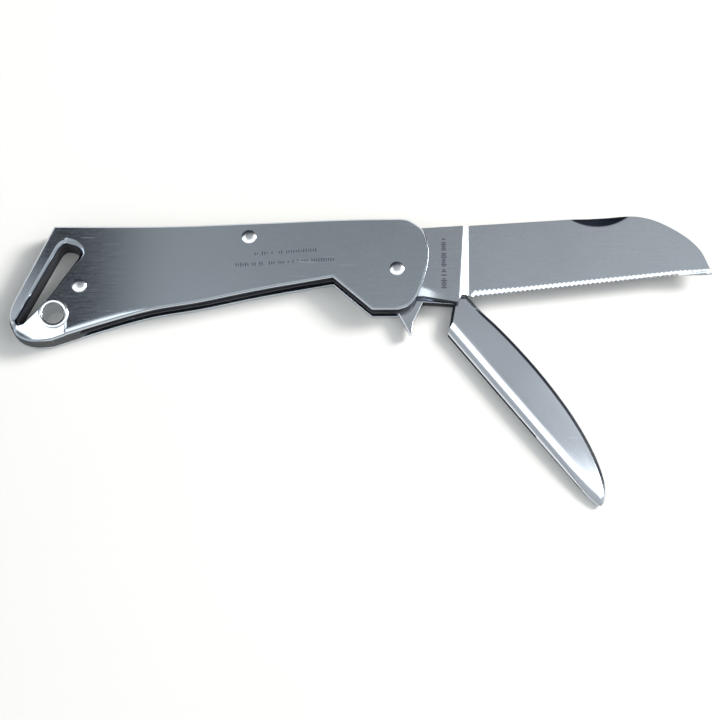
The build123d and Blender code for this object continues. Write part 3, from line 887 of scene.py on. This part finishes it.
# %% Springs and liner
# The near-black spring finish also paints the shade of the gap between the plates.
for name in ("blade_spring", "spike_spring", "centre_liner"):
    frame["nodes"][name].data.materials.clear()
    frame["nodes"][name].data.materials.append(spring_steel)

# %% [markdown]
# ## Rivets and the lanyard eyelet
# The three rivets are alike: a shank with a low domed head on the front and a flush countersunk head on
# the back. One is turned on a lathe, as it were, and Geometry Nodes set a copy on each hole, because a
# repeated part should be drawn once. The eyelet is its own turning, a tube with a rolled bright rim.

# %% Rivets and eyelet
FACE = FRONT_Z[1]
HEAD_RADIUS, HEAD_RISE = 1.9, 0.44


def lathe(profile, count):
    """Points and faces of a turning; a profile point on the axis becomes a pole."""
    points, faces, rings = [], [], []
    for radius, z in profile:
        size = 1 if radius < 1e-6 else count
        rings.append((len(points), size))
        turn = np.linspace(0, 2 * math.pi, size, endpoint=False)
        points += [(radius * math.cos(a), radius * math.sin(a), z) for a in turn]
    for (a, size_a), (b, size_b) in zip(rings, rings[1:]):
        for i in range(count):
            j = (i + 1) % count
            face = [a + i % size_a, a + j % size_a, b + j % size_b, b + i % size_b]
            faces.append(list(dict.fromkeys(face)))
    return np.array(points), faces


SHANK_RADIUS = 1.26
rivet_profile = [(0, 0.02), (1.85, 0.02), (HEAD_RADIUS, 0.05), (SHANK_RADIUS, 0.4)]
rivet_profile += [(SHANK_RADIUS, FACE - 0.02), (HEAD_RADIUS, FACE)]
for share in np.linspace(0, 1, 9)[1:-1]:
    quarter = share * math.pi / 2
    rivet_profile.append((HEAD_RADIUS * math.cos(quarter) ** 0.75, FACE + HEAD_RISE * math.sin(quarter)))
rivet_profile += [(0, FACE + HEAD_RISE)]
rim_turn = np.linspace(0, math.pi, 13)
eyelet_profile = [(2.75, 0.05), (2.75, FACE + 0.1)]
eyelet_profile += [(3.32 - 0.57 * math.cos(a), FACE + 0.12 + 0.32 * math.sin(a)) for a in rim_turn[1:-1]]
eyelet_profile += [(3.9, FACE + 0.05), (3.88, FACE - 0.7), (3.1, FACE - 0.75), (3.1, 0.45)]
eyelet_profile += [(3.38, 0.04), (2.85, 0.02), (2.75, 0.05)]


def set_on_holes():
    """A node group that sets a copy of a turned part on every point, all in one finish."""
    tree = bpy.data.node_groups.new("set_on_holes", "GeometryNodeTree")
    tree.interface.new_socket("Geometry", in_out="INPUT", socket_type="NodeSocketGeometry")
    tree.interface.new_socket("Part", in_out="INPUT", socket_type="NodeSocketObject")
    tree.interface.new_socket("Finish", in_out="INPUT", socket_type="NodeSocketMaterial")
    tree.interface.new_socket("Geometry", in_out="OUTPUT", socket_type="NodeSocketGeometry")
    enter, leave = tree.nodes.new("NodeGroupInput"), tree.nodes.new("NodeGroupOutput")
    part, onto = tree.nodes.new("GeometryNodeObjectInfo"), tree.nodes.new("GeometryNodeInstanceOnPoints")
    real, paint = tree.nodes.new("GeometryNodeRealizeInstances"), tree.nodes.new("GeometryNodeSetMaterial")
    link = tree.links.new
    link(enter.outputs["Part"], part.inputs["Object"])
    link(enter.outputs["Geometry"], onto.inputs["Points"])
    link(part.outputs["Geometry"], onto.inputs["Instance"])
    link(onto.outputs["Instances"], real.inputs["Geometry"])
    link(real.outputs["Geometry"], paint.inputs["Geometry"])
    link(enter.outputs["Finish"], paint.inputs["Material"])
    link(paint.outputs["Geometry"], leave.inputs["Geometry"])
    return tree


def baked(name, points, tree, settings):
    """Runs a node group on some points and returns the result as a plain mesh object."""
    base = bpy.data.meshes.new(name + "_base")
    base.from_pydata([tuple(p) for p in points], [], [])
    carrier = bpy.data.objects.new(name + "_carrier", base)
    modifier = carrier.modifiers.new("nodes", "NODES")
    modifier.node_group = tree
    for item in tree.interface.items_tree:
        if item.in_out == "INPUT" and item.name in settings:
            modifier[item.identifier] = settings[item.name]
    bpy.context.scene.collection.objects.link(carrier)
    shown = carrier.evaluated_get(bpy.context.evaluated_depsgraph_get())
    mesh = bpy.data.meshes.new_from_object(shown)
    mesh.name = name
    mesh.materials.clear()
    mesh.materials.append(settings["Finish"])
    bpy.data.objects.remove(carrier)
    return mesh


def loose_part(name, points, faces, finish):
    """A part that only serves as the pattern for copies."""
    mesh = bpy.data.meshes.new(name)
    mesh.from_pydata((np.asarray(points) * MM).tolist(), [], faces)
    mesh.shade_smooth()
    mesh.set_sharp_from_angle(angle=math.radians(40))
    mesh.materials.append(finish)
    return bpy.data.objects.new(name, mesh)


def on_handle(x, y, z=0.0):
    return (PIVOT.x + x * MM, PIVOT.y + y * MM, z * MM)


pattern = loose_part("rivet_pattern", *lathe(rivet_profile, 40), rivet_steel)
holes = [on_handle(0, 0), on_handle(*SPRING_PIN), on_handle(*TAIL_PIN)]
rivets = baked("rivets", holes, set_on_holes(), {"Part": pattern, "Finish": rivet_steel})
bpy.data.objects.remove(pattern)
settle(bpy.data.objects.new("rivets", rivets), "handle", ["pivot_pin", "spring_pin", "tail_pin"])

eyelet_points, eyelet_faces = lathe(eyelet_profile, 72)
eyelet_points += np.array([*EYELET, 0.0])
make_piece(
    "lanyard_eyelet_ring", eyelet_points, eyelet_faces, rivet_steel, "handle", ["lanyard_eyelet"],
    "pin_steel", sharp=40.0,
)

# %% [markdown]
# ## Stamped marks
# The plate carries two short rows of stamped characters and the blade one column. Nobody needs to read
# them here, so plain strokes stand in their place: rows of shallow dark dents of uneven height, in
# groups. Geometry Nodes lay them along a line with a fixed seed, drop some to leave gaps, and vary their
# size, because laying out ninety dents by hand would be no better.

# %% Stamped strokes
def rows_of_strokes():
    """A node group that lays small flattened dents along a line, with gaps."""
    tree = bpy.data.node_groups.new("rows_of_strokes", "GeometryNodeTree")
    sockets = [("Geometry", "Geometry"), ("Start", "Vector"), ("End", "Vector"), ("Count", "Int")]
    sockets += [("Tall", "Float"), ("Wide", "Float"), ("Turn", "Float")]
    sockets += [("Seed", "Int"), ("Finish", "Material")]
    for name, kind in sockets:
        tree.interface.new_socket(name, in_out="INPUT", socket_type="NodeSocket" + kind)
    tree.interface.new_socket("Geometry", in_out="OUTPUT", socket_type="NodeSocketGeometry")
    enter, leave = tree.nodes.new("NodeGroupInput"), tree.nodes.new("NodeGroupOutput")
    row, dent = tree.nodes.new("GeometryNodeMeshLine"), tree.nodes.new("GeometryNodeMeshUVSphere")
    row.mode, row.count_mode = "END_POINTS", "TOTAL"
    dent.inputs["Segments"].default_value, dent.inputs["Rings"].default_value = 8, 5
    dent.inputs["Radius"].default_value = 0.5
    chance, drop = tree.nodes.new("FunctionNodeRandomValue"), tree.nodes.new("GeometryNodeDeleteGeometry")
    chance.data_type, chance.inputs["Probability"].default_value = "BOOLEAN", 0.24
    stretch, shape = tree.nodes.new("FunctionNodeRandomValue"), tree.nodes.new("ShaderNodeCombineXYZ")
    stretch.data_type = "FLOAT"
    stretch.inputs[2].default_value, stretch.inputs[3].default_value = 0.45, 1.0
    tall = tree.nodes.new("ShaderNodeMath")
    tall.operation, shape.inputs["Z"].default_value = "MULTIPLY", 0.00006
    turn, onto = tree.nodes.new("ShaderNodeCombineXYZ"), tree.nodes.new("GeometryNodeInstanceOnPoints")
    real, paint = tree.nodes.new("GeometryNodeRealizeInstances"), tree.nodes.new("GeometryNodeSetMaterial")
    link = tree.links.new
    link(enter.outputs["Start"], row.inputs["Start Location"])
    link(enter.outputs["End"], row.inputs["Offset"])
    link(enter.outputs["Count"], row.inputs["Count"])
    link(enter.outputs["Seed"], chance.inputs["Seed"])
    link(enter.outputs["Seed"], stretch.inputs["Seed"])
    link(row.outputs["Mesh"], drop.inputs["Geometry"])
    link(chance.outputs[3], drop.inputs["Selection"])
    link(enter.outputs["Tall"], tall.inputs[0])
    link(stretch.outputs[1], tall.inputs[1])
    link(enter.outputs["Wide"], shape.inputs["X"])
    link(tall.outputs["Value"], shape.inputs["Y"])
    link(enter.outputs["Turn"], turn.inputs["Z"])
    link(drop.outputs["Geometry"], onto.inputs["Points"])
    link(dent.outputs["Mesh"], onto.inputs["Instance"])
    link(turn.outputs["Vector"], onto.inputs["Rotation"])
    link(shape.outputs["Vector"], onto.inputs["Scale"])
    link(onto.outputs["Instances"], real.inputs["Geometry"])
    link(real.outputs["Geometry"], paint.inputs["Geometry"])
    link(enter.outputs["Finish"], paint.inputs["Material"])
    link(paint.outputs["Geometry"], leave.inputs["Geometry"])
    return tree


def strokes(name, start, end, count, tall, wide, turn, seed, body, slot):
    """One row of strokes as a finished piece. Turn is the angle of each stroke in degrees."""
    values = {
        "Start": start, "End": end, "Count": count, "Tall": tall * MM, "Wide": wide * MM,
        "Turn": math.radians(turn), "Seed": seed, "Finish": stamp_oxide,
    }
    mesh = baked(name, [start], stroke_rows, values)
    return settle(bpy.data.objects.new(name, mesh), body, [])


stroke_rows = rows_of_strokes()
RICASSO = BLADE_MIDDLE + BLADE_HALF
lower_line = on_handle(-41, 0.9, FACE), on_handle(-15, 2.6, FACE)
upper_line = on_handle(-36.2, 3.9, FACE), on_handle(-20.7, 5.0, FACE)
blade_column = on_handle(12.0, 8.4, RICASSO), on_handle(12.0, -4.6, RICASSO)
strokes("stamp_lower", *lower_line, 44, 1.6, 0.36, 3.7, 4, "handle", "scale_steel")
strokes("stamp_upper", *upper_line, 26, 1.4, 0.36, 3.7, 9, "handle", "scale_steel")
strokes("stamp_blade", *blade_column, 28, 2.0, 0.42, 90, 2, "blade", "blade_steel")
